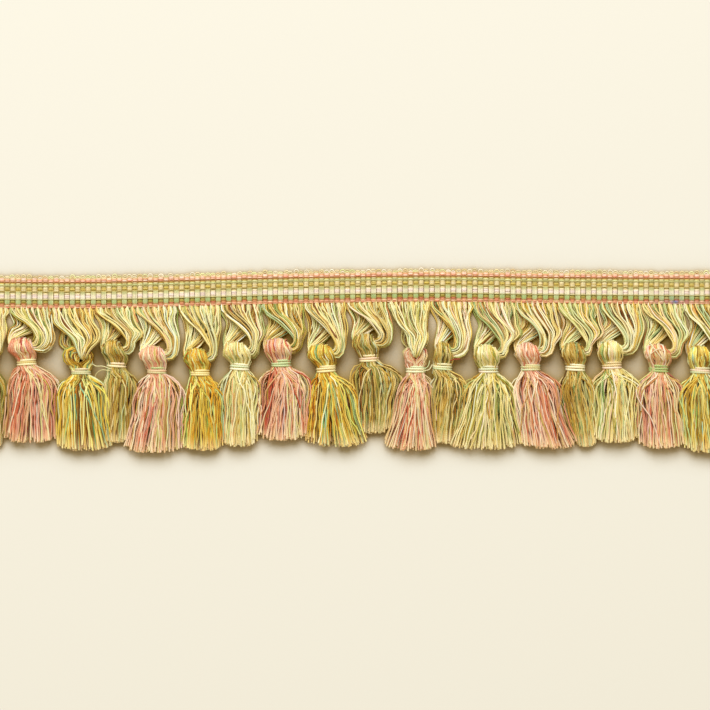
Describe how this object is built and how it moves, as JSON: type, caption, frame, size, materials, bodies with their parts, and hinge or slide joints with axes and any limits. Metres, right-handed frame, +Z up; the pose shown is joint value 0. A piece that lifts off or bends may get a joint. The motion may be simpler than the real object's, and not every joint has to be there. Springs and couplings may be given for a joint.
{
  "type": "tassel fringe trim",
  "caption": "Cut length of tassel fringe trim lying face up: a striped woven band, a skirt of yarn loops and bound yarn tassels gathered on the loops.",
  "frame": {"origin": "on the flat back of the woven band, at the middle of its length and of its height", "axes": "+X along the band, +Y from the tassels' ends towards the band, +Z up out of the trim's face"},
  "size_m": [0.326, 0.0791, 0.0089],
  "materials": {
    "heading_yarns": "woven, soft sheen",
    "loop_yarns": "loose plied yarn, soft sheen",
    "tie_yarn": "plied yarn, soft sheen",
    "sage_yarns": "loose plied yarn, soft sheen",
    "rose_yarns": "loose plied yarn, soft sheen",
    "gold_yarns": "loose plied yarn, soft sheen"
  },
  "bodies": {
    "root": {"heading": "heading_yarns", "skirt_01": "loop_yarns", "skirt_02": "loop_yarns", "skirt_03": "loop_yarns", "skirt_04": "loop_yarns", "skirt_05": "loop_yarns", "skirt_06": "loop_yarns", "skirt_07": "loop_yarns", "skirt_08": "loop_yarns", "skirt_09": "loop_yarns", "skirt_10": "loop_yarns", "skirt_11": "loop_yarns", "skirt_12": "loop_yarns", "skirt_13": "loop_yarns", "skirt_14": "loop_yarns", "skirt_15": "loop_yarns", "skirt_16": "loop_yarns", "skirt_17": "loop_yarns", "skirt_18": "loop_yarns", "tassel_01": "sage_yarns", "tassel_02": "rose_yarns", "tassel_03": "gold_yarns", "tassel_04": "sage_yarns", "tassel_05": "rose_yarns", "tassel_06": "gold_yarns", "tassel_07": "sage_yarns", "tassel_08": "rose_yarns", "tassel_09": "gold_yarns", "tassel_10": "sage_yarns", "tassel_11": "rose_yarns", "tassel_12": "gold_yarns", "tassel_13": "sage_yarns", "tassel_14": "rose_yarns", "tassel_15": "gold_yarns", "tassel_16": "sage_yarns", "tassel_17": "rose_yarns", "tassel_18": "gold_yarns", "tie_01": "tie_yarn", "tie_02": "tie_yarn", "tie_03": "tie_yarn", "tie_04": "tie_yarn", "tie_05": "tie_yarn", "tie_06": "tie_yarn", "tie_07": "tie_yarn", "tie_08": "tie_yarn", "tie_09": "tie_yarn", "tie_10": "tie_yarn", "tie_11": "tie_yarn", "tie_12": "tie_yarn", "tie_13": "tie_yarn", "tie_14": "tie_yarn", "tie_15": "tie_yarn", "tie_16": "tie_yarn", "tie_17": "tie_yarn", "tie_18": "tie_yarn"}
  },
  "joints": []
}
